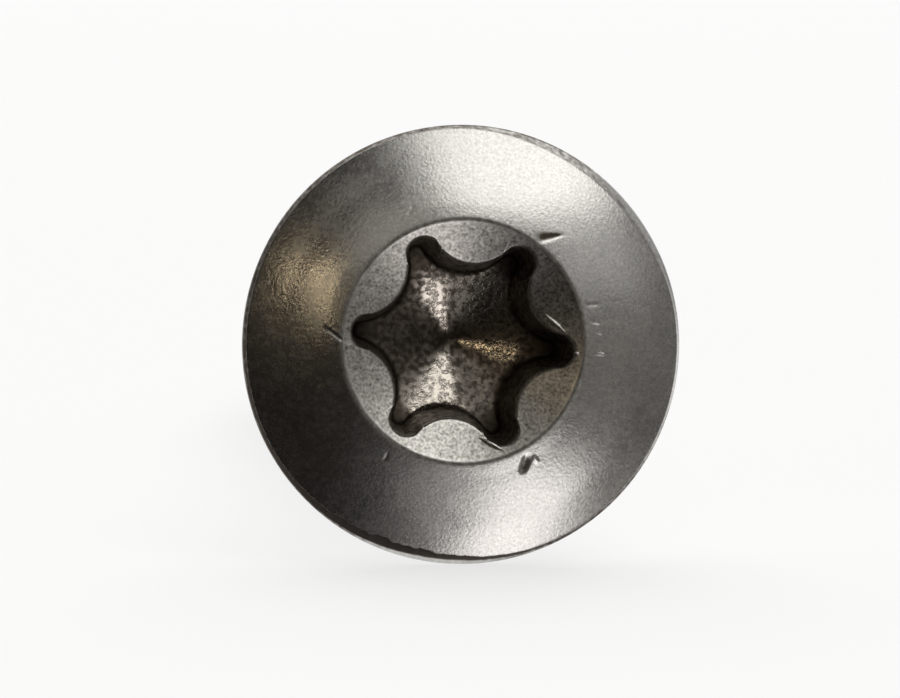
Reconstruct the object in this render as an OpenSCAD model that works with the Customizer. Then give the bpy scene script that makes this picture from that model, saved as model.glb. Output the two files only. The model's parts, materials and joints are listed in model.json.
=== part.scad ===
// Panelling screw: a raised countersunk wood screw with a six-lobe drive recess, all one piece of steel.
// It is drawn on its own axis, head up, with z = 0 where the head's rim meets the domed crown.
// It is then laid on its side as it rests on a table, on the rim and on the last full thread crest.

/* [Head] */
// Diameter of the head
head_d = 7.7; // [7:0.1:9]
// Height of the domed crown above the rim
head_raise = 1.0; // [0.6:0.05:1.4]
// Height of the straight rim between the crown and the seat
rim_h = 0.3; // [0.15:0.05:0.6]
// Included angle of the countersunk seat
seat_angle = 90; // [80:1:100]
// Radius of the cove between the seat and the shank
neck_r = 1.0; // [0.5:0.1:2]

/* [Drive recess] */
// Width of the recess across the tips of its six lobes
drive_a = 3.95; // [3.8:0.05:4.2]
// Width of the recess across the flutes between its lobes
drive_b = 2.8; // [2.6:0.05:2.95]
// Radius of a lobe's tip
lobe_r = 0.35; // [0.33:0.01:0.4]
// Radius of a flute's bulge
flute_r = 0.8; // [0.75:0.05:0.95]
// Draft angle of the recess walls
draft = 7; // [3:0.5:10]
// Diameter of the conical lead-in where it meets the crown
lead_in_d = 4.25; // [4.1:0.05:4.6]
// Included angle of the conical lead-in
lead_in_angle = 130; // [120:1:140]
// Depth of the recess from the edge of the lead-in to the bottom of its floor
drive_depth = 2.1; // [1.8:0.05:2.5]
// Included angle of the conical recess floor
floor_angle = 116; // [110:1:140]
// Turn of the recess about the screw's axis
drive_turn = -6; // [-30:1:30]

/* [Shank] */
// Length from the head's rim to the point
length = 25; // [20:1:60]
// Diameter of the plain shank
shank_d = 2.85; // [2.7:0.05:3.2]

/* [Thread] */
// Length of the thread, point included
thread_length = 16; // [10:1:20]
// Outside diameter of the thread
thread_d = 4.0; // [3.6:0.1:4.5]
// Diameter of the thread's core
core_d = 2.5; // [2.2:0.05:2.65]
// Distance from one turn of the thread to the next
pitch = 1.9; // [1.6:0.1:2.4]
// Width of the flat on the thread's crest
crest_w = 0.12; // [0.06:0.01:0.3]
// Included angle of the thread's flanks
flank_angle = 40; // [30:1:60]
// Length over which the thread swells to its full height below the shank
run_in = 1.4; // [0.5:0.1:3]
// Length of the tapered point
point_length = 5; // [4:0.5:8]
// Length of the point's tip that the thread leaves bare
tip_bare = 0.8; // [0.8:0.1:2]

/* [Hidden] */
$fn = 96;

head_r = head_d / 2;
shank_r = shank_d / 2;
core_r = core_d / 2;
thread_r = thread_d / 2;
lead_in_r = lead_in_d / 2;

// The crown is a cap of a sphere centred on the axis, and the lead-in's edge lies on it.
crown_r = (head_r * head_r + head_raise * head_raise) / (2 * head_raise);
crown_centre = head_raise - crown_r;
mouth = crown_centre + sqrt(crown_r * crown_r - lead_in_r * lead_in_r);

// The seat would meet the shank at seat_foot; a cove of radius neck_r rounds that corner off.
seat_foot = -rim_h - (head_r - shank_r) / tan(seat_angle / 2);
cove_reach = neck_r * tan(seat_angle / 4);

// The thread climbs in whole steps; one of its crests lies straight under the axis where the point begins.
steps_per_turn = 24;
step_rise = pitch / steps_per_turn;
under = -90;
thread_top = -(length - thread_length);
point_top = -(length - point_length);
root_sink = core_r / 25;
steps_up = floor((thread_top - point_top) / step_rise);
steps_down = floor((point_length - tip_bare) / step_rise);

// On the table the screw tips until its last full crest touches as well as the rim.
rest_tilt = atan((head_r - thread_r) / (crest_w / 2 - point_top - rim_h));
rest_h = head_r * cos(rest_tilt) + rim_h * sin(rest_tilt);
front = mouth * cos(rest_tilt) + lead_in_r * sin(rest_tilt);
back = length * cos(rest_tilt);

// Radius of the core at height z: straight, then tapering to the point.
function core_at(z) = core_r * min(1, (z + length) / point_length);

// Height of the thread over the core at height z: it swells below the shank and dies out at the point.
function swell(z) = min((thread_top - z) / run_in, (z + length - tip_bare) / (point_length - tip_bare));
function ridge_at(z) = (thread_r - core_r + root_sink) * max(0, min(1, swell(z))) - root_sink;

// Section of the thread at height z: foot and crest towards the point, then crest and foot towards the head.
function ridge_section(z) =
    let (
        crest = core_at(z) + ridge_at(z),
        foot_w = crest_w / 2 + (ridge_at(z) + 2 * root_sink) * tan(flank_angle / 2),
        root = core_at(z - foot_w) - 2 * root_sink
    )
    [[root, z - foot_w], [crest, z - crest_w / 2], [crest, z + crest_w / 2], [root, z + foot_w]];

// Half section of the screw without its thread: crown and rim, seat, shank, core and point.
module blank_profile() {
    intersection() {
        translate([0, crown_centre]) circle(r = crown_r, $fn = 4 * $fn);
        translate([0, -rim_h]) square([head_r, rim_h + head_raise]);
    }
    difference() {
        polygon([
            [0, -rim_h], [head_r, -rim_h],
            [shank_r + cove_reach * sin(seat_angle / 2), seat_foot + cove_reach * cos(seat_angle / 2)],
            [shank_r, seat_foot - cove_reach], [shank_r, thread_top],
            [core_r, thread_top + core_r - shank_r], [core_r, point_top], [0, -length]
        ]);
        translate([shank_r + neck_r, seat_foot - cove_reach]) circle(r = neck_r);
    }
}

// A drafted post of radius r at the mouth, wider (or, with a negative lean, narrower) further down.
module drafted_post(r, lean, down, up) {
    translate([0, 0, -down])
    cylinder(r1 = r + down * tan(lean), r2 = r - up * tan(lean), h = down + up);
}

// The six-lobe tool space from its mouth at z = 0: a hub and six lobes, less six flutes, over a conical floor.
module drive_space() {
    lobe_at = drive_a / 2 - lobe_r;
    floor_rise = 1 / tan(floor_angle / 2);
    lobe_depth = drive_depth - lobe_at * floor_rise;
    difference() {
        intersection() {
            union() {
                drafted_post(lobe_at + lobe_r / 2, -draft, drive_depth, head_raise);
                for (turn = [0 : 60 : 300])
                    rotate([0, 0, turn])
                    translate([lobe_at, 0, 0])
                    drafted_post(lobe_r, -draft, lobe_depth, head_raise);
            }
            rotate_extrude()
            polygon([
                [0, -drive_depth], [drive_a, drive_a * floor_rise - drive_depth],
                [drive_a, 2 * head_raise], [0, 2 * head_raise]
            ]);
        }
        for (turn = [30 : 60 : 330])
            rotate([0, 0, turn])
            translate([drive_b / 2 + flute_r, 0, 0])
            drafted_post(flute_r, draft, 2 * drive_depth, 2 * head_raise);
    }
}

// The conical lead-in, its wide end at z = 0 and carried on upwards clear of the crown.
module lead_in() {
    slope = 1 / tan(lead_in_angle / 2);
    depth = lead_in_r * slope;
    translate([0, 0, -depth])
    cylinder(r1 = 0, r2 = lead_in_r + head_raise / slope, h = depth + head_raise);
}

module drive_recess() {
    translate([0, 0, mouth])
    rotate([0, 0, drive_turn])
    union() {
        drive_space();
        lead_in();
    }
}

// The ridge of the thread, swept up its helix from the point to the shank.
module thread_ridge() {
    count = steps_up + steps_down;
    points = [
        for (i = [0 : count])
            let (
                z = point_top + (i - steps_down) * step_rise,
                turn = under + (i - steps_down) * 360 / steps_per_turn
            )
            for (p = ridge_section(z)) [p[0] * cos(turn), p[0] * sin(turn), p[1]]
    ];
    sides = [
        for (i = [0 : count - 1], k = [0 : 3])
            let (a = 4 * i + k, b = 4 * i + (k + 1) % 4)
            each [[a, b, b + 4], [a, b + 4, a + 4]]
    ];
    last = 4 * count;
    ends = [[0, 3, 2], [0, 2, 1], [last, last + 1, last + 2], [last, last + 2, last + 3]];
    polyhedron(points, concat(sides, ends), convexity = 12);
}

module screw() {
    color("silver")
    difference() {
        union() {
            rotate_extrude() blank_profile();
            thread_ridge();
        }
        drive_recess();
    }
}

// Turns the upright screw onto its side, head towards -y, with the middle of its length over the origin.
module laid_down() {
    translate([0, (front - back) / 2, rest_h])
    rotate([90 - rest_tilt, 0, 0])
    children();
}

laid_down() screw();
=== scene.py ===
"""Looks of a panelling screw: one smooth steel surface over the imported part, and the studio it is seen in.

Shapes are worked out in the screw's own frame, in millimetres: the axis is z, the head is up, z = 0 is the
top edge of the head's rim, x is to the right and y upwards for someone who looks at the head.
"""

import json
import logging
import math
from dataclasses import dataclass, field
from enum import Enum
from typing import Any, Callable, Sequence, Union

import bpy
import numpy as np
from mathutils import Matrix, Vector


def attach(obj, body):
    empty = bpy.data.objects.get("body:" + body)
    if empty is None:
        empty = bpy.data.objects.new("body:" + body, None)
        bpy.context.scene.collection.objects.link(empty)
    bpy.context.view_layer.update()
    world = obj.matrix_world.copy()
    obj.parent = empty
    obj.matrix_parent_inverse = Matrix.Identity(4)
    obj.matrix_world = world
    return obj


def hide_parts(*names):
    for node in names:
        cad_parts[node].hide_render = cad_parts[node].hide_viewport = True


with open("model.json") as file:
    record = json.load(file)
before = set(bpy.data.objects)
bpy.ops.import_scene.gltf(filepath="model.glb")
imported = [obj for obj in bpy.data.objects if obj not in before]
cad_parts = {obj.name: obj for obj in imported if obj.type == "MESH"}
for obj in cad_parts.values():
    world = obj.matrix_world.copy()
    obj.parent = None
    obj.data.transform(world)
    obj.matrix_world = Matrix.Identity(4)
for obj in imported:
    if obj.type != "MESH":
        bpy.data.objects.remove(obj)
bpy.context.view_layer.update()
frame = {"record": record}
NODE = "screw"
BODY = "root"
MM = 0.001
# Radius of the plain shank in millimetres, which no mount gives
SHANK_R = 1.425
# Angle from one lobe of the recess to the next
SIXTH = math.pi / 3

Array = np.ndarray
Colour = tuple[float, float, float]

log = logging.getLogger("panelling_screw")


# Sizes and place


@dataclass(frozen=True)
class Lay:
    """How the screw lies in the part's frame.

    Attributes:
        rim: centre of the rim's top edge, in metres.
        right, up, out: the screw's own x, y and z directions in the part's frame.
    """

    rim: Array
    right: Array
    up: Array
    out: Array

    @classmethod
    def from_mounts(cls, mounts: dict[str, dict[str, Any]], rim_h: float) -> "Lay":
        """Read the lay from the record's mounts.

        Args:
            mounts: the record's mounts by name.
            rim_h: height of the rim in millimetres, from the seat's mount to the rim's top edge.

        Returns:
            The lay of the screw.
        """
        out = np.array(mounts["drive_recess"]["axis"])
        out = out / np.linalg.norm(out)
        right = np.array([1.0, 0.0, 0.0])
        rim = np.array(mounts["countersunk_seat"]["pos_m"]) + out * rim_h * MM
        return cls(rim=rim, right=right, up=np.cross(out, right), out=out)

    def turn(self, own: Array) -> Array:
        """Turn directions from the screw's own frame into the part's frame."""
        return own @ np.stack([self.right, self.up, self.out])

    def place(self, own: Array) -> Array:
        """Place points, given in millimetres in the screw's own frame, in the part's frame in metres."""
        return self.turn(own) * MM + self.rim


@dataclass(frozen=True)
class Nick:
    """A dent, scratch or raised speck on the crown, given in the head's plane in millimetres.

    Attributes:
        at: its middle, right and up from the screw's axis.
        run: direction that it runs in, in degrees from the right.
        long, wide: its half length and half width.
        deep: how far it is sunk; a negative depth is a raised speck.
        lip: height of the metal thrown up along its left side.
        taper: how much narrower it is at its far end, as a share of its width.
        tilt: how far its bottom leans down to its left side, as a share of its depth.
        painted_shade: how dark it is inside, a painted shade of the dent's hollow.
    """

    at: tuple[float, float]
    run: float
    long: float
    wide: float
    deep: float
    lip: float = 0.0
    taper: float = 0.0
    tilt: float = 0.0
    painted_shade: float = 0.0

    def mark(self, x: Array, y: Array) -> tuple[Array, Array]:
        """Height and painted shade that the nick adds at points of the head's plane.

        A flat bell along its length times a flat bell across it, sunk, plus a narrow bell beside it for
        the lip. The width falls evenly along it where it tapers.

        Args:
            x, y: the points.

        Returns:
            The heights, negative where metal is pushed in, and the shares of painted shade.
        """
        turn = math.radians(self.run)
        along = (x - self.at[0]) * math.cos(turn) + (y - self.at[1]) * math.sin(turn)
        across = (y - self.at[1]) * math.cos(turn) - (x - self.at[0]) * math.sin(turn)
        wide = self.wide * (1 - 0.5 * self.taper * (1 + np.clip(along / self.long, -1, 1)))
        length = np.exp(-((along / self.long) ** 4))
        groove = np.exp(-(np.abs(across / wide) ** 3))
        lip_at, lip_wide = 1.35 * wide, 0.4 * self.wide
        lip = np.exp(-(((across - lip_at) / lip_wide) ** 2))
        sunk = self.deep * groove * (1 + self.tilt * np.clip(across / wide, -1, 1))
        # The groove is painted dark as the dent's shade.
        return length * (self.lip * lip - sunk), self.painted_shade * length * groove


@dataclass(frozen=True)
class Burr:
    """A thin spindle of metal turned up on the lead-in, given in the head's plane in millimetres.

    Attributes:
        start, end: its two ends, right and up from the screw's axis.
        wide: its greatest radius.
    """

    start: tuple[float, float]
    end: tuple[float, float]
    wide: float = 0.03

    def add(self, skin: "Skin", land: Callable[[Array, Array], Array]) -> None:
        """Add the spindle: circles about a line on the lead-in, as wide as a half wave is high.

        Args:
            skin: the mesh to add to.
            land: gives the lead-in's height at points of the head's plane.
        """
        count, sides, zone = 13, 12, 0.1
        along = np.linspace(0.0, 1.0, count)[:, None]
        start, end = np.array(self.start), np.array(self.end)
        line = start + (end - start) * along
        line = np.concatenate([line, land(line[:, :1], line[:, 1:]) + 0.3 * self.wide], axis=1)
        run = (line[-1] - line[0]) / np.linalg.norm(line[-1] - line[0])
        side = np.cross([0.0, 0.0, 1.0], run)
        side /= np.linalg.norm(side)
        around = np.linspace(0.0, math.tau, sides, endpoint=False)[:, None]
        circle = np.cos(around) * side + np.sin(around) * np.cross(run, side)
        radii = self.wide * np.sin(math.pi * along[1:-1])
        rings = skin.add(line[1:-1, None] + radii[..., None] * circle, zone)
        first, last = skin.add(line[[0, -1]], zone)
        skin.grid(rings[::-1])
        skin.fan(first, rings[0], outward=True)
        skin.fan(last, rings[-1], outward=False)


@dataclass(frozen=True)
class WearAndHighlight:
    """A streak on the recess's floor where the punched metal is bare of stain, laid where a lamp's
    reflection falls: wear and a painted highlight.

    Attributes:
        at, half: its direction from the right and its half width, in degrees.
        share: how bare it is.
        near, far: radii between which it lies, in millimetres.
    """

    at: float
    half: float
    share: float
    near: float
    far: float

    def bare_for_highlight(self, angle: Array, r: Array) -> Array:
        """Share of bare metal, a painted highlight under the lamp's reflection: a bell across the streak,
        which fades at both of its ends.
        """
        fade_in, fade_out = 0.2, 0.3
        length = climb(r, self.far, -fade_out) * climb(r, self.near, fade_in)
        return self.share * bell(angle, self.at, self.half) * length


# The marks on this one head


NICKS = (
    # Two dents, the first and the fifth, are painted dark inside as their shade.
    Nick(at=(1.44, 1.91), run=6.0, long=0.25, wide=0.11, deep=0.009, taper=0.8, tilt=-1.0, painted_shade=1.0),
    Nick(at=(-2.31, 0.20), run=-38.0, long=0.2, wide=0.026, deep=0.018, lip=0.01),
    Nick(at=(-2.03, 0.06), run=-4.0, long=0.09, wide=0.02, deep=0.012, lip=0.007),
    Nick(at=(1.20, -1.98), run=-50.0, long=0.07, wide=0.035, deep=-0.014),
    Nick(at=(1.03, -2.07), run=-112.0, long=0.14, wide=0.08, deep=0.03, lip=0.008, taper=0.2,
         tilt=-1.0, painted_shade=0.7),
    Nick(at=(2.20, 0.71), run=4.0, long=0.1, wide=0.02, deep=0.011),
    Nick(at=(2.26, 0.40), run=-10.0, long=0.07, wide=0.02, deep=0.012),
    Nick(at=(2.33, 0.22), run=-24.0, long=0.05, wide=0.02, deep=0.011),
    Nick(at=(2.34, -0.15), run=-6.0, long=0.09, wide=0.022, deep=0.014, lip=0.008),
    Nick(at=(-1.42, -1.92), run=60.0, long=0.07, wide=0.03, deep=0.006, lip=0.003),
    Nick(at=(-2.55, -0.64), run=20.0, long=0.06, wide=0.025, deep=0.006, lip=0.004),
    Nick(at=(-0.98, 2.36), run=62.0, long=0.1, wide=0.02, deep=0.006, lip=0.004),
    Nick(at=(-1.76, 1.32), run=47.0, long=0.14, wide=0.02, deep=-0.006),
)
BURRS = (
    Burr(start=(1.37, 0.56), end=(1.74, 0.22), wide=0.045),
    Burr(start=(0.22, -1.60), end=(0.64, -1.83), wide=0.045),
    Burr(start=(1.85, -0.13), end=(1.97, -0.14)),
)
# Bare streaks laid under the lamps' reflections on the recess's floor: wear and painted highlight.
WEAR_AND_HIGHLIGHTS = (
    WearAndHighlight(at=252.0, half=20.0, share=1.3, near=0.2, far=1.7),
    WearAndHighlight(at=112.0, half=13.0, share=1.0, near=0.05, far=1.2),
    WearAndHighlight(at=-13.0, half=9.0, share=2.4, near=0.1, far=1.2),
    WearAndHighlight(at=55.0, half=42.0, share=0.55, near=0.3, far=1.6),
    WearAndHighlight(at=305.0, half=25.0, share=0.35, near=0.2, far=1.6),
)


# Small helpers


def climb(value: Array, start: float, over: float) -> Array:
    """Share that goes evenly from 0 at `start` to 1 at `start + over`, where `over` may be negative."""
    return np.clip((value - start) / over, 0.0, 1.0)


def half_tan(angle: float) -> float:
    """Tangent of half an included angle in degrees: a cone's radius over its height."""
    return math.tan(math.radians(angle / 2))


def polar(r: Array, turn: Array, z: Array) -> Array:
    """Points at radii r in directions `turn` and at heights z."""
    return np.stack([r * np.cos(turn), r * np.sin(turn), z + 0 * turn], axis=-1)


def meets(at: float, off: Array, radius: Array, side: int, missed: float) -> Array:
    """Distance along rays, `off` the line to a circle's middle, to its far (1) or near (-1) side."""
    reach = radius**2 - (at * np.sin(off)) ** 2
    return np.where(reach > 0, at * np.cos(off) + side * np.sqrt(np.maximum(reach, 0.0)), missed)


def put(name: str, data: bpy.types.ID) -> bpy.types.Object:
    """Make an object of some data and put it in the scene."""
    obj = bpy.data.objects.new(name, data)
    bpy.context.scene.collection.objects.link(obj)
    return obj


def bell(angle: Array, at: float, half: float) -> Array:
    """One smooth swelling about a direction; the direction and its half width are in degrees."""
    off = (angle - math.radians(at) + math.pi) % math.tau - math.pi
    return np.exp(-((off / math.radians(half)) ** 2))


def soft_min(a: Array, b: Array, blend: float) -> Array:
    """Smaller of two arrays, with a parabola over the last `blend` where they cross."""
    near = np.clip(0.5 + 0.5 * (b - a) / blend, 0.0, 1.0)
    return b + (a - b) * near - blend * near * (1.0 - near)


def soft_max(a: Array, b: Array, blend: float) -> Array:
    """Larger of two arrays, with a parabola over the last `blend` where they cross."""
    return -soft_min(-a, -b, blend)


def eased(count: int) -> Array:
    """Inner fractions of a stretch, closer together towards both its ends (half a cosine wave)."""
    return 0.5 - 0.5 * np.cos(np.pi * np.arange(1, count + 1) / (count + 1))


def rounded_profile(
    corners: Sequence[Array], reaches: Sequence[Any], fills: Sequence[int], steps: Sequence[int]
) -> Array:
    """Round the inner corners of many profiles at once.

    Each inner corner becomes a quadratic curve that starts and ends `reach` away along its two sides. The
    straight stretches between corners get eased inner points.

    Args:
        corners: the corner points, each an array of (column, radius and height).
        reaches: the reach of each inner corner, as one number or one per column.
        fills: how many inner points each straight stretch gets.
        steps: how many points each rounded corner gets.

    Returns:
        The points as (column, point, radius and height), both end corners included.
    """
    bends = [corners[0][:, None, :]]
    for before, corner, after, reach, step in zip(corners, corners[1:], corners[2:], reaches, steps):
        t = np.linspace(0.0, 1.0, step)[None, :, None]
        reach = np.reshape(reach, (-1, 1))
        back, ahead = before - corner, after - corner
        start = corner + back / np.linalg.norm(back, axis=1, keepdims=True) * reach
        end = corner + ahead / np.linalg.norm(ahead, axis=1, keepdims=True) * reach
        bends.append(
            start[:, None] * (1 - t) ** 2 + corner[:, None] * 2 * t * (1 - t) + end[:, None] * t**2
        )
    bends.append(corners[-1][:, None, :])
    rows = [bends[0]]
    for last, following, fill in zip(bends, bends[1:], fills):
        share = eased(fill)[None, :, None]
        rows.append(last[:, -1:] * (1 - share) + following[:, :1] * share)
        rows.append(following)
    return np.concatenate(rows, axis=1)


@dataclass
class Skin:
    """A growing triangle mesh: points in the screw's own frame, two tones per point, and faces.

    The tones are the share of recess finish and the share of stain and painted shade.
    """

    points: list[Array] = field(default_factory=list)
    tones: list[Array] = field(default_factory=list)
    faces: list[Array] = field(default_factory=list)
    count: int = 0

    def add(self, points: Array, zone: Any = 0.0, stain: Any = 0.0) -> Array:
        """Add points and give their numbers.

        Args:
            points: array of any shape, with the three coordinates last.
            zone, stain: shares of recess finish and of stain and painted shade, for all or per point.

        Returns:
            The points' numbers, in the shape of the points.
        """
        flat = points.reshape(-1, 3)
        numbers = np.arange(self.count, self.count + len(flat)).reshape(points.shape[:-1])
        self.points.append(flat)
        tones = [np.broadcast_to(tone, points.shape[:-1]).reshape(-1) for tone in (zone, stain)]
        self.tones.append(np.stack(tones, axis=1))
        self.count += len(flat)
        return numbers

    def quads(self, a: Array, b: Array, c: Array, d: Array) -> None:
        """Add two triangles for each of many quads, given by their corner numbers in turn."""
        corners = [np.stack([a, b, c], axis=-1), np.stack([a, c, d], axis=-1)]
        self.faces.extend(part.reshape(-1, 3) for part in corners)

    def grid(self, numbers: Array) -> None:
        """Join (row, column) numbers into a tube; its rows run outward from the middle, or down it."""
        beside = np.roll(numbers, -1, axis=1)
        self.quads(numbers[:-1], numbers[1:], beside[1:], beside[:-1])

    def fan(self, tip: int, ring: Array, outward: bool) -> None:
        """Close a ring to a single point; outward turns the faces to point away from the head's side."""
        beside = np.roll(ring, -1)
        tips = np.full_like(ring, tip)
        order = (ring, tips, beside) if outward else (tips, ring, beside)
        self.faces.append(np.stack(order, axis=-1))

    def step_down(self, fine: Array, coarse: Array) -> None:
        """Join a ring to one of fewer points: each coarse edge takes an even share of fine edges."""
        share = len(fine) // len(coarse)
        half = share // 2
        fine_next, coarse_next = np.roll(fine, -1), np.roll(coarse, -1)
        near = np.tile(np.arange(share) < half, len(coarse))
        foot = np.where(near, np.repeat(coarse, share), np.repeat(coarse_next, share))
        self.faces.append(np.stack([fine, foot, fine_next], axis=-1))
        self.faces.append(np.stack([fine[half::share], coarse, coarse_next], axis=-1))

    def welded(self) -> tuple[Array, Array, Array]:
        """Merge points that coincide and drop faces that have collapsed.

        Returns:
            The points, the tones of each, and the faces.
        """
        points, tones = np.concatenate(self.points), np.concatenate(self.tones)
        faces = np.concatenate(self.faces)
        digits = 6
        _, first, merged = np.unique(
            np.round(points, digits), axis=0, return_index=True, return_inverse=True
        )
        faces = merged.ravel()[faces]
        a, b, c = faces.T
        whole = (a != b) & (b != c) & (c != a)
        return points[first], tones[first], faces[whole]


# The screw


@dataclass
class DriveRecess:
    """The six-lobe recess, with its mouth plane at height 0.

    Attributes:
        across_lobes, across_flutes: its two widths.
        lobe_r, flute_r: radii of a lobe's tip and of a flute's bulge at the mouth plane.
        draft: draft angle of the walls, in degrees.
        lead_in_r, lead_in_angle: radius of the conical lead-in at the crown, and its included angle.
        depth, floor_angle: depth of the floor's middle, and the floor's included angle.
        turned: turn of the recess about the axis, in degrees.
        corner_blend: how far a lobe's two corners are blended.
    """

    across_lobes: float = 3.95
    across_flutes: float = 2.8
    lobe_r: float = 0.35
    flute_r: float = 0.8
    draft: float = 7.0
    lead_in_r: float = 2.125
    lead_in_angle: float = 130.0
    depth: float = 2.1
    floor_angle: float = 140.0
    turned: float = -6.0
    corner_blend: float = 0.03

    def outline(self, turn: Array, down: Array) -> Array:
        """Radius of the wall in directions `turn`, `down` below the mouth plane.

        In one direction a lobe is met at the far side of its tip circle, and a flute at the near side of
        its bulge; the wall is the nearer of the two. Draft shrinks the one and swells the other.

        Args:
            turn: directions from the first lobe, in radians.
            down: depth below the mouth plane, per direction.

        Returns:
            The radius per direction.
        """
        off_lobe = np.abs((turn + SIXTH / 2) % SIXTH - SIXTH / 2)
        off_flute = SIXTH / 2 - off_lobe
        lean = down * math.tan(math.radians(self.draft))
        lobe_at = self.across_lobes / 2 - self.lobe_r
        flute_at = self.across_flutes / 2 + self.flute_r
        lobe = meets(lobe_at, off_lobe, self.lobe_r - lean, 1, self.across_lobes)
        flute = meets(flute_at, off_flute, self.flute_r + lean, -1, self.across_lobes)
        return soft_min(lobe, flute, self.corner_blend)

    def directions(self, count: int) -> Array:
        """Directions spread along the outline, closer where it runs inwards or outwards.

        Half the spread goes by the outline's length and half by the angle.

        Args:
            count: how many directions, a multiple of six.

        Returns:
            The directions from the first lobe, in radians, rising.
        """
        samples = 2000
        turn = np.linspace(0.0, SIXTH, samples)
        r = self.outline(turn, np.zeros_like(turn))
        step = np.hypot(np.diff(r * np.cos(turn)), np.diff(r * np.sin(turn)))
        length = np.concatenate([[0.0], np.cumsum(step)])
        spread = 0.5 * length / length[-1] + 0.5 * turn / turn[-1]
        each = count // 6
        sixth = np.interp(np.arange(each) / each, spread, turn)
        return (sixth[None] + (np.arange(6) * SIXTH)[:, None]).ravel()

    def corners(self, turn: Array) -> list[Array]:
        """Corners of the profile in each direction: floor's middle, foot, mouth and lead-in's edge.

        The foot is where the wall meets the floor's cone and the mouth is where it meets the lead-in's
        cone, each found by repeated substitution.

        Args:
            turn: directions from the first lobe.

        Returns:
            Four arrays of (direction, radius and height).
        """
        rounds = 40
        floor_rise, lead_rise = 1 / half_tan(self.floor_angle), 1 / half_tan(self.lead_in_angle)
        foot = np.full_like(turn, self.depth / 2)
        mouth = np.zeros_like(turn)
        for _ in range(rounds):
            foot = self.depth - self.outline(turn, foot) * floor_rise
            mouth = (self.lead_in_r - self.outline(turn, mouth)) * lead_rise
        middle = np.zeros_like(turn)
        return [
            np.stack([middle, middle - self.depth], axis=1),
            np.stack([self.outline(turn, foot), -foot], axis=1),
            np.stack([self.outline(turn, mouth), -mouth], axis=1),
            np.stack([middle + self.lead_in_r, middle], axis=1),
        ]


# Line of radius and height, share of recess finish and share of stain, each as (row, direction)
Rows = tuple[Array, Array, Array]


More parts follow.
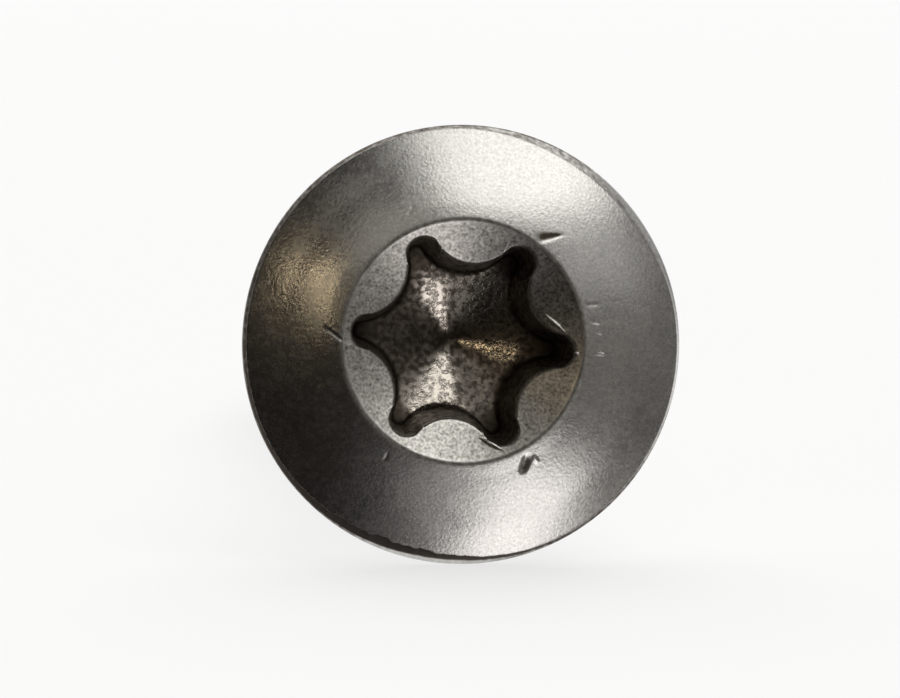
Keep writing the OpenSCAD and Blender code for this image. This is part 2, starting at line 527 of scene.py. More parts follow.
@dataclass
class Head:
    """The raised countersunk head: crown, rim, seat and the cove down to the shank.

    Attributes:
        radius, raised, rim_h: its radius, the crown's height over the rim, and the rim's height.
        seat_angle, neck_r: included angle of the seat, and radius of the cove below it.
        shank_r: radius of the shank that the cove runs into.
        recess: the drive recess.
        nicks, burrs, wear_and_highlights: marks on the crown, metal turned up on the lead-in, and bare
            streaks on the recess's floor, laid under the lamps' reflections as a painted highlight.
        columns: how many columns the head's front has.
        off_centre: how far the punched recess sits off the axis, right and up.
        foot_round, mouth_round, ring_round: reach of the rounding at the foot of the recess's walls, at
            their top and at the lead-in's edge.
        crease_round, rim_round: reach of the rounding where the crown meets its bevel, and of the rim's.
    """

    radius: float
    shank_r: float = SHANK_R
    raised: float = 1.0
    rim_h: float = 0.3
    seat_angle: float = 90.0
    neck_r: float = 1.0
    recess: DriveRecess = field(default_factory=DriveRecess)
    nicks: tuple[Nick, ...] = NICKS
    burrs: tuple[Burr, ...] = BURRS
    wear_and_highlights: tuple[WearAndHighlight, ...] = WEAR_AND_HIGHLIGHTS
    columns: int = 720
    off_centre: tuple[float, float] = (-0.066, 0.077)
    foot_round: float = 0.14
    mouth_round: float = 0.05
    ring_round: float = 0.055
    crease_round: float = 0.012
    rim_round: float = 0.05

    @property
    def crown_r(self) -> float:
        """Radius of the sphere that the crown is a cap of."""
        return (self.radius**2 + self.raised**2) / (2 * self.raised)

    @property
    def mouth(self) -> float:
        """Height of the lead-in's edge on the crown."""
        return float(self.crown(np.array(self.recess.lead_in_r)))

    @property
    def crown_start(self) -> float:
        """Radius of the crown's first row, just outside the lead-in's rounded edge."""
        return self.recess.lead_in_r + 0.12

    def crown(self, r: Array) -> Array:
        """Height of the crown at radius r: a sphere about a point on the axis."""
        return self.raised - self.crown_r + np.sqrt(self.crown_r**2 - r**2)

    def on_crown(self, r: Array) -> Array:
        """Profile points on the crown at radii r."""
        return np.stack([r, self.crown(r)], axis=-1)

    def edge(self, angle: Array) -> tuple[Array, Array, Array, Array]:
        """Widths of the uneven bevel and lip between crown and rim, and their shares of stain and painted
        shade.

        The bevel has an even width plus two bells: a clean one at the upper right, and one at the lower
        left that is ragged by ripples and black with stain and painted shade. The lip outside it is widest
        at the foot and at the upper right, where it is bare. At the right the whole edge is plain.

        Args:
            angle: directions in radians from the right.

        Returns:
            The bevel's and the lip's widths in millimetres, and the bevel's and the rim's shares of stain
            and painted shade.
        """
        ripples = ((0.016, 31, 0), (0.012, 57, 1), (0.01, 113, 2))
        ragged = sum(high * np.sin(count * angle + phase) for high, count, phase in ripples)
        low, foot, right = bell(angle, 247, 24), bell(angle, 262, 24), bell(angle, 36, 18)
        plain = bell(angle, -2, 28)
        bevel = 0.035 + 0.085 * bell(angle, 63, 20) + (0.105 + ragged) * low
        lip = 0.015 + 0.07 * foot + 0.085 * right
        # Stain and painted shade: the bevel is darkest at the lower left and lightest at the upper right and
        # the right.
        bevel_stain_and_shade = 0.75 + 0.25 * low + 0.6 * bell(angle, 235, 40)
        bevel_stain_and_shade = bevel_stain_and_shade - 0.2 * bell(angle, 57, 35) - 0.65 * plain
        # The rim is stained and painted dark, except at the foot, the upper right and the right.
        return bevel, lip, bevel_stain_and_shade, 0.75 - 0.7 * np.max([foot, right, plain], axis=0)

    def bowl(self, turn: Array, angle: Array) -> Rows:
        """Build the rows from the middle of the recess's floor to the start of the crown.

        The floor is bare along its streaks of wear, which lie under the lamps' reflections as a painted
        highlight, and has painted shade towards the lobes' tips.

        Args:
            turn, angle: directions from the first lobe, and from the right.

        Returns:
            The rows.
        """
        # Rows of the floor, its foot, the wall, the mouth, the lead-in, its edge and the crown's start
        counts = (10, 7, 5, 5, 6, 9, 2)
        zone = np.repeat([0.8, 0.9, 1.0, 0.15, 0.25, 0.1, 0.0], counts)
        stain = np.repeat([0.82, 0.8, 0.55, 0.1, 0.0], counts[:5])
        # The lead-in's edge is painted dark all round: dirt in its crease and painted shade of it.
        edge = 0.55 * np.hanning(counts[5])
        stain = np.concatenate([stain, edge, np.zeros(counts[6])])[:, None] + 0 * turn
        corners = [corner + [0.0, self.mouth] for corner in self.recess.corners(turn)]
        corners.append(self.on_crown(self.crown_start + 0 * turn))
        reaches = [self.foot_round, self.mouth_round, self.ring_round]
        fills = np.array(counts[::2]) - [1, 0, 0, 1]
        line = rounded_profile(corners, reaches, fills, counts[1::2]).swapaxes(0, 1)
        floor = counts[0] + counts[1]
        r = line[:floor, :, 0]
        # Bare streaks under the lamps' reflections: a painted highlight.
        bare_for_highlight = np.clip(sum(streak.bare_for_highlight(angle, r) for streak in self.wear_and_highlights), 0, 1)
        # Painted shade: the floor darkens towards the lobes' tips, where the walls shade it.
        tips_from, tips_over, tips_painted_shade = 1.35, 0.25, 0.5
        stain[:floor] = stain[:floor] * (1 - bare_for_highlight) + tips_painted_shade * climb(r, tips_from, tips_over)
        return line, zone[:, None], stain

    def shell(self, angle: Array) -> Rows:
        """Build the rows of the crown, bevel, lip and rim, down to the top of the seat.

        Args:
            angle: directions in radians from the right.

        Returns:
            The rows, closest together on the inner crown, where most nicks lie.
        """
        bevel, lip, bevel_stain_and_shade, rim_stain_and_shade = self.edge(angle)
        seat_drop, lip_round, steepness, crease_gap = 0.2, 0.4 * lip, 1.5, 0.06
        edge_r = self.radius - lip - bevel
        step = self.crown(edge_r) - steepness * bevel
        share = np.concatenate([np.linspace(0, 0.4, 21)[1:], np.linspace(0.4, 1, 10)[1:]])
        span = edge_r[:, None] - crease_gap - self.crown_start
        crown = self.on_crown(self.crown_start + span * share)
        levels = (
            (self.radius - lip, step),
            (self.radius, step - lip),
            (self.radius, -self.rim_h),
            (self.radius - seat_drop * half_tan(self.seat_angle), -self.rim_h - seat_drop),
        )
        corners = [crown[:, -1], self.on_crown(edge_r)]
        corners += [np.stack([r + 0 * lip, z + 0 * lip], axis=1) for r, z in levels]
        reaches = [self.crease_round, lip_round, lip_round, self.rim_round]
        rim = rounded_profile(corners, reaches, [1] * 5, [3, 3, 3, 5])[:, 1:]
        on_bevel = np.repeat([0.0, 0.5, 1.0, 0.5, 0.0], [2, 1, 3, 1, 13])[:, None]
        on_rim = np.repeat([0.0, 0.5, 1.0, 0.6, 0.0], [6, 1, 8, 2, 3])[:, None]
        line = np.concatenate([crown, rim], axis=1).swapaxes(0, 1)
        stain = np.zeros(line.shape[:2])
        # The edge's stain and painted shade, spread over the bevel's and the rim's rows.
        stain[crown.shape[1] :] = on_bevel * bevel_stain_and_shade + on_rim * rim_stain_and_shade
        return line, np.zeros((len(line), 1)), stain

    def front(self, skin: Skin) -> Array:
        """Build floor, walls, lead-in, crown and rim as rings of one profile per direction.

        Args:
            skin: the mesh to add to.

        Returns:
            Numbers of the last ring, just below the rim, and its directions, as two stacked rows.
        """
        turn = self.recess.directions(self.columns)
        angle = turn + math.radians(self.recess.turned)
        parts = zip(self.bowl(turn, angle), self.shell(angle))
        line, zone, stain = (np.concatenate(part) for part in parts)
        r, z = line[..., 0], line[..., 1]
        centred_from, eased_over = 3.2, 0.8
        hold = climb(r, centred_from, -eased_over)
        x = r * np.cos(angle) + hold * self.off_centre[0]
        y = r * np.sin(angle) + hold * self.off_centre[1]
        # The nicks' painted shade joins the stain tone.
        lift, painted_shade = self.marks(x, y)
        numbers = skin.add(np.stack([x, y, z + lift], axis=-1), zone, np.maximum(stain, painted_shade))
        skin.grid(numbers)
        for burr in self.burrs:
            burr.add(skin, self.land)
        return np.stack([numbers[-1], angle])

    def land(self, x: Array, y: Array) -> Array:
        """Height of the lead-in's cone at points of the head's plane, about the recess's own middle."""
        r = np.hypot(x - self.off_centre[0], y - self.off_centre[1])
        return self.mouth - (self.recess.lead_in_r - r) / half_tan(self.recess.lead_in_angle)

    def marks(self, x: Array, y: Array) -> Array:
        """Heights and painted shade that the nicks add, on the crown and the top of the lead-in only."""
        lift = sum((np.stack(nick.mark(x, y)) for nick in self.nicks), np.zeros((2, *x.shape)))
        r = np.hypot(x, y)
        inner, outer = self.recess.lead_in_r - 0.15, self.radius - 0.1
        return lift * (climb(r, inner, 0.12) * climb(r, outer, -0.1))

    def seat_profile(self) -> Array:
        """Rows of radius and height from the seat, round the cove's arc, to the top of the shank."""
        half = math.radians(self.seat_angle / 2)
        foot = -self.rim_h - (self.radius - self.shank_r) / math.tan(half)
        reach = self.neck_r * math.tan(half / 2)
        centre = np.array([self.shank_r + self.neck_r, foot - reach])
        bend = math.pi / 2 + half + np.linspace(0, math.pi / 2 - half, 9)
        cove = centre + self.neck_r * np.stack([np.cos(bend), np.sin(bend)], axis=1)
        share = np.linspace(0.18, 0.85, 4)[:, None]
        rim_foot = np.array([self.radius, -self.rim_h])
        seat = rim_foot * (1 - share) + cove[0] * share
        return np.concatenate([seat, cove])


@dataclass
class Thread:
    """Shank end, threaded core and gimlet point.

    Attributes:
        radius, core_r, shank_r: radii of the crest, the core and the plain shank.
        top, tip: heights of the shank's end and of the point's tip.
        pitch, crest_w, flank_angle: pitch, width of the crest, and included angle of the flanks.
        run_in: length over which the ridge swells below the shank.
        point_length, tip_bare: length of the tapered point, and of its tip with no ridge.
        columns: how many columns there are to a turn.
        blunt: how far the lowest ring lies above the tip.
        edge_blend: how far the ridge's edges are blended, as a share of its height.
    """

    radius: float
    top: float
    tip: float
    shank_r: float = SHANK_R
    core_r: float = 1.25
    pitch: float = 1.9
    crest_w: float = 0.12
    flank_angle: float = 40.0
    run_in: float = 1.4
    point_length: float = 5.0
    tip_bare: float = 0.8
    columns: int = 120
    blunt: float = 0.1
    edge_blend: float = 0.16

    @property
    def around(self) -> Array:
        """Directions of one turn's columns, in radians."""
        return np.arange(self.columns) * math.tau / self.columns

    @property
    def core_top(self) -> float:
        """Height at which the shank's end has come down to the core."""
        return self.top - (self.shank_r - self.core_r)

    def core(self, z: Array) -> Array:
        """Radius of the core, the shank's end and the shank at height z."""
        point = self.core_r * np.minimum(1.0, (z - self.tip) / self.point_length)
        end = np.clip(z - self.core_top, 0.0, self.shank_r - self.core_r)
        return point + end

    def helix(self, turn: Array) -> Array:
        """Height of the ridge's middle in a direction; it is straight below where the point begins."""
        point_top = self.tip + self.point_length
        return point_top + self.pitch * (turn + math.pi / 2) / math.tau

    def ridge(self, z: Array) -> Array:
        """Height of the ridge over the core where its middle is at z."""
        swell = (self.top - z) / self.run_in
        fade = (z - self.tip - self.tip_bare) / (self.point_length - self.tip_bare)
        return (self.radius - self.core_r) * np.clip(np.minimum(swell, fade), 0.0, 1.0)

    def foot(self, ridge: Array) -> Array:
        """Half width of a ridge of that height at its foot."""
        return self.crest_w / 2 + ridge * half_tan(self.flank_angle)

    def surface(self, turn: Array, z: Array) -> Array:
        """Radius in direction `turn` at height z.

        The nearest turn of the helix gives the distance from the ridge's middle. The ridge is a trapezoid
        across that distance with its corners blended, and it stands on the core.

        Args:
            turn: directions in radians.
            z: heights, in the same shape.

        Returns:
            The radius of each point.
        """
        away = z - self.helix(turn)
        away = away - self.pitch * np.round(away / self.pitch)
        ridge = self.ridge(z - away)
        crest, foot = self.crest_w / 2, self.foot(ridge)
        slope = (foot - np.abs(away)) / np.maximum(foot - crest, 1e-6)
        share = soft_min(slope, np.ones_like(slope), self.edge_blend)
        share = soft_max(share, 0 * slope, self.edge_blend)
        share = np.where(np.abs(away) > 0.49 * self.pitch, 0.0, share)
        base = self.core(z)
        return np.maximum(base, np.minimum(base, self.core(z * 0 + self.core_top)) + ridge * share)

    def offsets(self, ridge: Array) -> Array:
        """Distances from the ridge's middle of one column's rows, closest at its four edges."""
        crest, foot = self.crest_w / 2, self.foot(ridge)
        flank = [crest + share * (foot - crest) for share in (0.1, 0.25, 0.55, 0.85)]
        core = [foot + 0.01, foot + 0.1, 0 * foot + self.pitch / 2]
        half = np.stack([0.5 * crest + 0 * foot, *flank, *core], axis=-1)
        return np.concatenate([-half[..., ::-1], half], axis=-1)

    def body(self, skin: Skin) -> Array:
        """Build the thread as a band that winds up the core, one turn joined to the next.

        Its columns follow the helix, so the ridge's edges run along the mesh. Rows that would pass the
        band's lowest or highest ring stop there and are merged. The lowest ring closes to the tip.

        Args:
            skin: the mesh to add to.

        Returns:
            Numbers of the topmost ring, from direction 0 round.
        """
        gap = 0.02
        low, high = self.tip + self.blunt, self.core_top - gap
        rise = self.pitch / self.columns
        first = self.helix(np.array(0.0))
        start = math.floor((low - self.pitch / 2 - first) / rise)
        stop = math.ceil((high + self.pitch / 2 - first) / rise)
        steps = np.arange(start, stop + 1)
        turn = steps * math.tau / self.columns
        middle = self.helix(turn)
        z = np.clip(middle[:, None] + self.offsets(self.ridge(middle)), low, high)
        r = self.surface(np.broadcast_to(turn[:, None], z.shape), z)
        numbers = skin.add(polar(r, self.around[steps % self.columns][:, None], z))
        skin.quads(numbers[:-1, :-1], numbers[1:, :-1], numbers[1:, 1:], numbers[:-1, 1:])
        lowest = self.ring(skin, low)
        tip = skin.add(np.array([[0.0, 0.0, self.tip]]))
        skin.fan(int(tip[0]), lowest, outward=True)
        return self.ring(skin, high)

    def ring(self, skin: Skin, z: float) -> Array:
        """Add one level ring of the surface at height z and give its numbers."""
        height = np.full_like(self.around, z)
        return skin.add(polar(self.surface(self.around, height), self.around, height))


@dataclass(frozen=True)
class SatinSteel:
    """Tumbled stainless steel: satin, with a fine grain, and dull and brown inside the recess.

    Attributes:
        bright, punched: colours of the clean metal and of the metal inside the recess.
        stained_and_shaded: colour of the dark stain and of painted shade, which shares above 1 turn black.
        roughness: roughness of the clean metal.
        grain: how many grains there are to a millimetre.
        relief: height of the grain in metres.
    """

    bright: Colour = (0.62, 0.608, 0.585)
    punched: Colour = (0.50, 0.445, 0.385)
    stained_and_shaded: Colour = (0.105, 0.086, 0.068)
    roughness: float = 0.265
    grain: float = 20.0
    relief: float = 2.3e-6

    def material(self) -> bpy.types.Material:
        """Make the material.

        Returns:
            The material, which reads the piece's own `own`, `zone` and `stain` attributes.
        """
        material = bpy.data.materials.new("satin_steel")
        graph = Graph(material)
        own = graph.attribute("own", "Vector")
        zone = graph.attribute("zone", "Fac")
        stain = graph.attribute("stain", "Fac")
        fine = graph.noise(own, self.grain, detail=1.0, roughness=0.5) - 0.5
        coarse = graph.noise(own, self.grain * 0.45, detail=2.0, roughness=0.55) - 0.5
        cloud = graph.noise(own, self.grain * 0.09, detail=2.0, roughness=0.5) - 0.5
        rough = graph.noise(own, self.grain * 0.5, detail=3.0, roughness=0.6)
        pits = zone * graph.ramp(rough, 0.44, 0.66)
        floor = graph.ramp(zone, 0.5, 0.8)
        lands = zone - 0.8 * floor
        # The dark mix paints the stain and also the painted shade carried in the same tone.
        ragged = graph.ramp(stain + (rough - 0.5), 0.1, 0.95)
        # Shares above 1, at the lobes' tips and on the lower left of the bevel, turn black: painted shade.
        deep = graph.ramp(stain, 1.0, 1.55)
        grain = (0.6 + 6.0 * lands) * fine + (0.3 + 2.5 * lands) * coarse + 0.2 * cloud
        metal = graph.mix(graph.mix(self.bright, self.punched, zone), self.stained_and_shaded, ragged)
        colour = graph.tint(metal, (1.0 + grain) * (1.0 - 0.45 * pits) * (1.0 - 0.65 * deep))
        roughness = self.roughness + 0.1 * coarse + 0.1 * cloud + 0.6 * lands
        roughness = roughness - 0.15 * floor + 0.35 * ragged
        height = 1.1 * fine + 0.1 * coarse - 2.5 * pits
        relief = {"Strength": 1.0, "Distance": self.relief, "Height": height}
        normal = graph.output("ShaderNodeBump", "Normal", {}, relief)
        graph.surface({"Base Color": colour, "Metallic": 1.0, "Roughness": roughness, "Normal": normal})
        return material


class Screw:
    """The whole screw as one piece."""

    def __init__(self, record: dict[str, Any]) -> None:
        """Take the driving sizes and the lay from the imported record."""
        mounts = {mount["name"]: mount for mount in record["mounts"]}
        thread = mounts["thread"]["dims"]
        self.head = Head(radius=mounts["countersunk_seat"]["dims"]["r_mm"])
        self.lay = Lay.from_mounts(mounts, self.head.rim_h)
        middle = np.array(mounts["thread"]["pos_m"]) - self.lay.rim
        tip = float(middle @ self.lay.out) / MM - thread["length_mm"] / 2
        self.thread = Thread(radius=thread["r_mm"], top=tip + thread["length_mm"], tip=tip)
        self.finish = SatinSteel()

    def build(self) -> bpy.types.Object:
        """Build the screw's surface: the head's front, the seat and shank, then the thread and point.

        Returns:
            The finished object.
        """
        skin = Skin()
        last, angle = self.head.front(skin)
        share = self.head.columns // self.thread.columns
        even = angle[0] + self.thread.around
        rows = self.head.seat_profile()
        ease = np.linspace(0.0, 1.0, len(rows))[:, None]
        turn = angle[::share] * (1 - ease) + even * ease
        lower = self.thread.top + np.array([5.0, 0.4, 0.04])
        rows = np.concatenate([rows, np.stack([0 * lower + self.head.shank_r, lower], axis=1)])
        turn = np.concatenate([turn, np.repeat(even[None], len(lower), axis=0)])
        numbers = skin.add(polar(rows[:, :1], turn, rows[:, 1:]))
        skin.step_down(last.astype(int), numbers[0])
        skin.grid(numbers)
        self.shank_end(skin, numbers[-1], even)
        return self.to_object(*skin.welded())

    def shank_end(self, skin: Skin, shank: Array, even: Array) -> None:
        """Join the shank to the thread's topmost ring over the small cone at the shank's end."""
        thread = self.thread
        top = thread.body(skin)
        drops = np.array([-0.1, 0.1, 0.5, 0.9])
        heights = thread.top - (thread.shank_r - thread.core_r) * drops
        rings = np.stack([thread.ring(skin, float(z)) for z in heights] + [top])
        nearest = int(np.round(even[0] / math.tau * thread.columns)) % thread.columns
        skin.grid(np.stack([np.roll(shank, nearest), rings[0]]))
        skin.grid(rings)

    def to_object(self, points: Array, tones: Array, faces: Array) -> bpy.types.Object:
        """Make a Blender object of the surface, in place and smooth, with its attributes."""
        mesh = bpy.data.meshes.new("screw_surface")
        mesh.from_pydata(self.lay.place(points), [], faces)
        mesh.shade_smooth()
        own = mesh.attributes.new("own", "FLOAT_VECTOR", "POINT")
        own.data.foreach_set("vector", points.astype(np.float32).ravel())
        # The second tone carries real stain together with painted shade, and is lowered along the bare
        # streaks of painted highlight.
        for name, tone in zip(("zone", "stain"), tones.T):
            layer = mesh.attributes.new(name, "FLOAT", "POINT")
            layer.data.foreach_set("value", np.ascontiguousarray(tone, dtype=np.float32))
        return put("screw_surface", mesh)

    def dress(self, obj: bpy.types.Object) -> None:
        """Give the surface its finish and put it in the solid's stead."""
        obj.data.materials.append(self.finish.material())
        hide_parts(NODE)
        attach(obj, BODY)


# Shader graphs


Value = Union["Socket", float]


class Socket:
    """A shader output that takes part in Python arithmetic; each operation adds a Math node."""

    def __init__(self, graph: "Graph", socket: bpy.types.NodeSocket) -> None:
        """Wrap a node's output."""
        self.graph = graph
        self.socket = socket

    def __add__(self, other: Value) -> "Socket":
        """Sum."""
        return self.graph.math("ADD", self, other)

    def __sub__(self, other: Value) -> "Socket":
        """Difference."""
        return self.graph.math("SUBTRACT", self, other)

    def __rsub__(self, other: Value) -> "Socket":
        """Difference, with the number first."""
        return self.graph.math("SUBTRACT", other, self)

    def __mul__(self, other: Value) -> "Socket":
        """Product."""
        return self.graph.math("MULTIPLY", self, other)

    __radd__ = __add__
    __rmul__ = __mul__


class Graph:
    """A node tree that is built by calls and by arithmetic on sockets."""

    def __init__(self, owner: Union[bpy.types.Material, bpy.types.World]) -> None:
        """Start with an empty tree in a material or world."""
        owner.use_nodes = True
        self.tree = owner.node_tree
        self.tree.nodes.clear()

    def node(self, kind: str, settings: dict[str, Any], inputs: dict[Any, Any]) -> bpy.types.Node:
        """Add a node.

        Args:
            kind: the node's type.
            settings: its properties, which are set first.
            inputs: value or link per input, by name or number.

        Returns:
            The node.
        """
        node = self.tree.nodes.new(kind)
        for name, value in settings.items():
            setattr(node, name, value)
        for name, value in inputs.items():
            if isinstance(value, Socket):
                self.tree.links.new(value.socket, node.inputs[name])
            else:
                node.inputs[name].default_value = value
        return node

    def output(self, kind: str, out: Any, settings: dict[str, Any], inputs: dict[Any, Any]) -> Socket:
        """Add a node and give one of its outputs, by name or number."""
        return Socket(self, self.node(kind, settings, inputs).outputs[out])

    def math(self, operation: str, a: Value, b: Value) -> Socket:
        """Add a Math node."""
        return self.output("ShaderNodeMath", 0, {"operation": operation}, {0: a, 1: b})

    def attribute(self, name: str, out: str) -> Socket:
        """Read one of the piece's own attributes."""
        return self.output("ShaderNodeAttribute", out, {"attribute_name": name}, {})

    def noise(self, vector: Socket, scale: float, detail: float, roughness: float) -> Socket:
        """Noise of about 0 to 1, with `scale` features to a unit of the vector."""
        inputs = {"Vector": vector, "Scale": scale, "Detail": detail, "Roughness": roughness}
        return self.output("ShaderNodeTexNoise", "Fac", {}, inputs)

    def ramp(self, value: Value, low: float, high: float) -> Socket:
        """Rise smoothly from 0 to 1 as a value goes from low to high."""
        inputs = {"Value": value, "From Min": low, "From Max": high}
        return self.output("ShaderNodeMapRange", 0, {"interpolation_type": "SMOOTHSTEP"}, inputs)

    def mix(self, a: Any, b: Any, share: Value) -> Socket:
        """Blend two colours."""
        ends = [end if isinstance(end, Socket) else (*end, 1.0) for end in (a, b)]
        inputs = {"Factor": share, 6: ends[0], 7: ends[1]}
        return self.output("ShaderNodeMix", 2, {"data_type": "RGBA"}, inputs)

    def tint(self, colour: Socket, shade: Socket) -> Socket:
        """Multiply a colour by a number."""
        inputs = {0: colour, "Scale": shade}
        return self.output("ShaderNodeVectorMath", 0, {"operation": "SCALE"}, inputs)

    def surface(self, inputs: dict[str, Any], white: float = 0.0) -> None:
        """End a material in a Principled shader.

        Args:
            inputs: the shader's inputs.
            white: share of plain white mixed in where the camera, metal or glass sees it directly.
        """
        shader = self.output("ShaderNodeBsdfPrincipled", 0, {}, inputs)
        if white > 0.0:
            path = self.node("ShaderNodeLightPath", {}, {}).outputs
            rays = ("Camera", "Glossy", "Transmission")
            direct = sum(Socket(self, path[f"Is {ray} Ray"]) for ray in rays)
            glow = self.output("ShaderNodeEmission", 0, {}, {"Strength": 1.0})
            shares = {0: white * direct, 1: shader, 2: glow}
            shader = self.output("ShaderNodeMixShader", 0, {}, shares)
        self.node("ShaderNodeOutputMaterial", {}, {"Surface": shader})


# The studio


ROSY = (1.0, 0.97, 0.965)
AMBER = (1.0, 0.80, 0.52)


class Seen(Enum):
    """What sees a part of the floor."""

    BY_ALL = "by all rays"
    NOT_BY_METAL = "by the camera and as a ground for shadows, not in reflections"


@dataclass(frozen=True)
class Panel:
    """A soft lamp panel, placed as seen from the head.

    Attributes:
        name: its name.
        towards: direction from the head, in the screw's own frame.
        size: its two widths in metres.
        level: its brightness, where 1 is white.
        colour: its colour.
        away: distance from the head in metres.
    """

    name: str
    towards: tuple[float, float, float]
    size: tuple[float, float]
    level: float
    colour: Colour = (1.0, 1.0, 1.0)
    away: float = 0.5

    def hang(self, lay: Lay) -> bpy.types.Object:
        """Hang the panel so that it faces the head.

        Args:
            lay: how the screw lies.

        Returns:
            The lamp.
        """
        lamp = bpy.data.lights.new(self.name, "AREA")
        lamp.shape = "RECTANGLE"
        lamp.size, lamp.size_y = self.size
        lamp.color = self.colour
        lamp.energy = self.level * math.pi * self.size[0] * self.size[1]
        obj = put(self.name, lamp)
        towards = Vector(lay.turn(np.array(self.towards))).normalized()
        obj.matrix_world = Matrix.LocRotScale(
            Vector(lay.rim) + towards * self.away, towards.to_track_quat("Z", "Y"), None
        )
        obj.visible_camera = False
        return obj


@dataclass(frozen=True)
class PhotoView:
    """The photograph's view of the head.

    Attributes:
        frame: width and height of the frame in pixels.
        head_at: pixel of the rim's middle.
        head_px: radius of the rim in pixels.
        from_left, from_above: how far the camera stands off the screw's axis, in degrees.
        lens, sensor: focal length, and width of the sensor, in millimetres.
    """

    frame: tuple[int, int] = (900, 698)
    head_at: tuple[float, float] = (462.6, 344.9)
    head_px: float = 220.0
    from_left: float = 7.2
    from_above: float = 1.5
    lens: float = 200.0
    sensor: float = 36.0

    def camera(self, lay: Lay, head_r: float) -> bpy.types.Object:
        """Set up the camera.

        Args:
            lay: how the screw lies.
            head_r: radius of the head in millimetres.

        Returns:
            The camera, which is made the scene's.
        """
        left, above = math.radians(self.from_left), math.radians(self.from_above)
        level = math.cos(above)
        own = np.array([-math.sin(left) * level, math.sin(above), math.cos(left) * level])
        back = Vector(lay.turn(own)).normalized()
        across = Vector(lay.up).cross(back).normalized()
        up = back.cross(across)
        pixel = head_r * MM / self.head_px
        shift_x = self.head_at[0] - self.frame[0] / 2
        shift_y = self.frame[1] / 2 - self.head_at[1]
        target = Vector(lay.rim) - across * shift_x * pixel - up * shift_y * pixel
        distance = pixel * self.frame[0] * self.lens / self.sensor
        data = bpy.data.cameras.new("photo_view")
        data.lens, data.sensor_width = self.lens, self.sensor
        data.clip_start, data.clip_end = 0.005, 20.0
        obj = put("photo_view", data)
        turn = Matrix((across, up, back)).transposed().to_4x4()
        obj.matrix_world = Matrix.Translation(target + back * distance) @ turn
        bpy.context.scene.camera = obj
        return obj


@dataclass(frozen=True)
class PaleFloor:
    """A plain pale floor.

    Attributes:
        colour: its colour.
        white: share of plain white in what is seen of it, which lightens the shadow.
        reach: how far it goes each way, in metres.
    """

    colour: Colour = (0.95, 0.948, 0.945)
    white: float = 0.7
    reach: float = 3.0

    def material(self) -> bpy.types.Material:
        """Make a matt material with a faint unevenness."""
        material = bpy.data.materials.new("pale_floor")
        graph = Graph(material)
        place = graph.output("ShaderNodeTexCoord", "Object", {}, {})
        cloud = graph.noise(place, 6.0, detail=2.0, roughness=0.5)
        darker = tuple(0.985 * part for part in self.colour)
        colour = graph.mix(self.colour, darker, cloud)
        graph.surface({"Base Color": colour, "Roughness": 0.9}, self.white)
        return material

    def lay(self, edge: float) -> list[bpy.types.Object]:
        """Lay the floor in two parts, which meet along a line across the head's foot.

        Args:
            edge: where the parts meet, in metres along y.

        Returns:
            The two parts.
        """
        material = self.material()
        spans = {
            "floor": (edge, self.reach, Seen.BY_ALL),
            "floor_front": (-self.reach, edge, Seen.NOT_BY_METAL),
        }
        return [self.sheet(name, span, material) for name, span in spans.items()]

    def sheet(
        self, name: str, span: tuple[float, float, Seen], material: bpy.types.Material
    ) -> bpy.types.Object:
        """Make one level sheet of the floor."""
        low, high, seen = span
        left, right = -self.reach, self.reach
        corners = np.array([[left, low, 0], [right, low, 0], [right, high, 0], [left, high, 0]])
        mesh = bpy.data.meshes.new(name)
        mesh.from_pydata(corners, [], [(0, 1, 2, 3)])
        mesh.materials.append(material)
        obj = put(name, mesh)
        obj.visible_glossy = obj.visible_shadow = seen is Seen.BY_ALL
        return obj


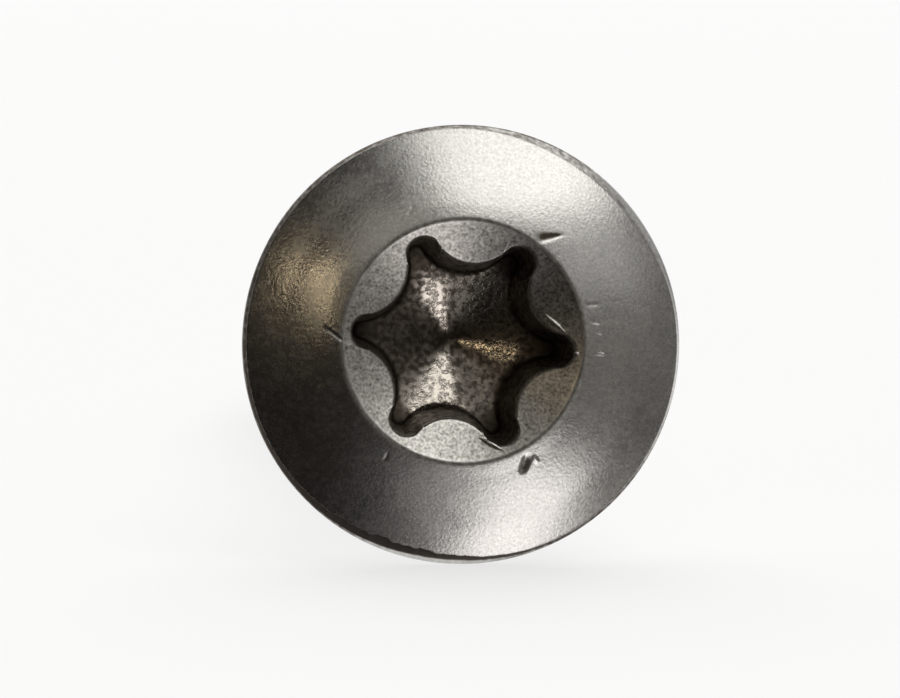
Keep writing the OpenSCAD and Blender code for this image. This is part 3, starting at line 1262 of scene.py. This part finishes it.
@dataclass
class Studio:
    """Floor, lamps, surroundings and camera.

    Attributes:
        lay: how the screw lies.
        head_r: radius of the head in millimetres.
        floor, view, panels: the floor, the camera's view and the lamps.
    """

    lay: Lay
    head_r: float
    floor: PaleFloor = field(default_factory=PaleFloor)
    view: PhotoView = field(default_factory=PhotoView)
    panels: tuple[Panel, ...] = (
        Panel("key_panel", (0.32, 0.77, 0.55), size=(0.38, 0.34), level=1.55, colour=(1.0, 1.0, 0.97)),
        Panel("low_panel", (0.345, -0.74, 0.578), size=(0.20, 0.35), level=1.65, colour=ROSY),
        Panel("foot_fill", (0.05, -0.62, 0.78), size=(0.18, 0.12), level=0.28, colour=ROSY),
        Panel("warm_lamp", (-0.575, 0.285, 0.766), size=(0.045, 0.045), level=4.6, colour=AMBER),
        Panel("warm_fill", (-0.535, 0.14, 0.83), size=(0.04, 0.04), level=2.4, colour=AMBER),
        Panel("right_fill", (0.63, 0.43, 0.65), size=(0.22, 0.28), level=0.33),
        Panel("left_fill", (-0.24, 0.49, 0.84), size=(0.20, 0.20), level=0.33, colour=(1.0, 0.96, 0.88)),
        Panel("over_panel", (0.0, 0.86, -0.5), size=(1.1, 0.9), level=1.4, away=0.7),
    )

    def surroundings(self) -> None:
        """Light the world: dim brown at the left front, uneven grey at the right front, pale behind."""
        world = bpy.data.worlds.new("surroundings")
        bpy.context.scene.world = world
        graph = Graph(world)
        towards = graph.output("ShaderNodeTexCoord", "Generated", {}, {})
        parts = graph.node("ShaderNodeSeparateXYZ", {}, {"Vector": towards})
        across, along, above = (Socket(graph, out) for out in parts.outputs)
        brown, grey = (0.013, 0.011, 0.009), (0.145, 0.14, 0.131)
        rose, pale = (0.17, 0.162, 0.158), (0.5, 0.5, 0.495)
        front = graph.mix(brown, grey, graph.ramp(across, -0.5, 0.75))
        glow = graph.ramp(across, -0.35, 0.1) * graph.ramp(0.0 - above, 0.5, 0.75)
        uneven = graph.noise(towards, 9.0, detail=2.0, roughness=0.5)
        shade = 0.25 + 1.5 * graph.ramp(uneven, 0.38, 0.62)
        front = graph.tint(graph.mix(front, rose, glow), shade)
        whole = graph.mix(front, pale, graph.ramp(along, -0.25, 0.35))
        shader = graph.output("ShaderNodeBackground", 0, {}, {"Color": whole, "Strength": 1.0})
        graph.node("ShaderNodeOutputWorld", {}, {"Surface": shader})

    def set_up(self) -> None:
        """Lay the floor, hang the lamps, light the surroundings and place the camera."""
        foot = self.lay.rim - self.lay.up * self.head_r * MM
        for sheet in self.floor.lay(float(foot[1])):
            log.info("stage %s", sheet.name)
        for panel in self.panels:
            log.info("lamp %s", panel.hang(self.lay).name)
        self.surroundings()
        log.info("camera %s", self.view.camera(self.lay, self.head_r).name)
        bpy.context.scene.view_settings.view_transform = "Standard"


def main() -> None:
    """Build the screw and the studio."""
    logging.basicConfig(level=logging.INFO, format="%(name)s: %(message)s")
    screw = Screw(frame["record"])
    surface = screw.build()
    screw.dress(surface)
    log.info("piece %s: %d triangles", surface.name, len(surface.data.polygons))
    Studio(screw.lay, screw.head.radius).set_up()


if __name__ == "__main__":
    main()
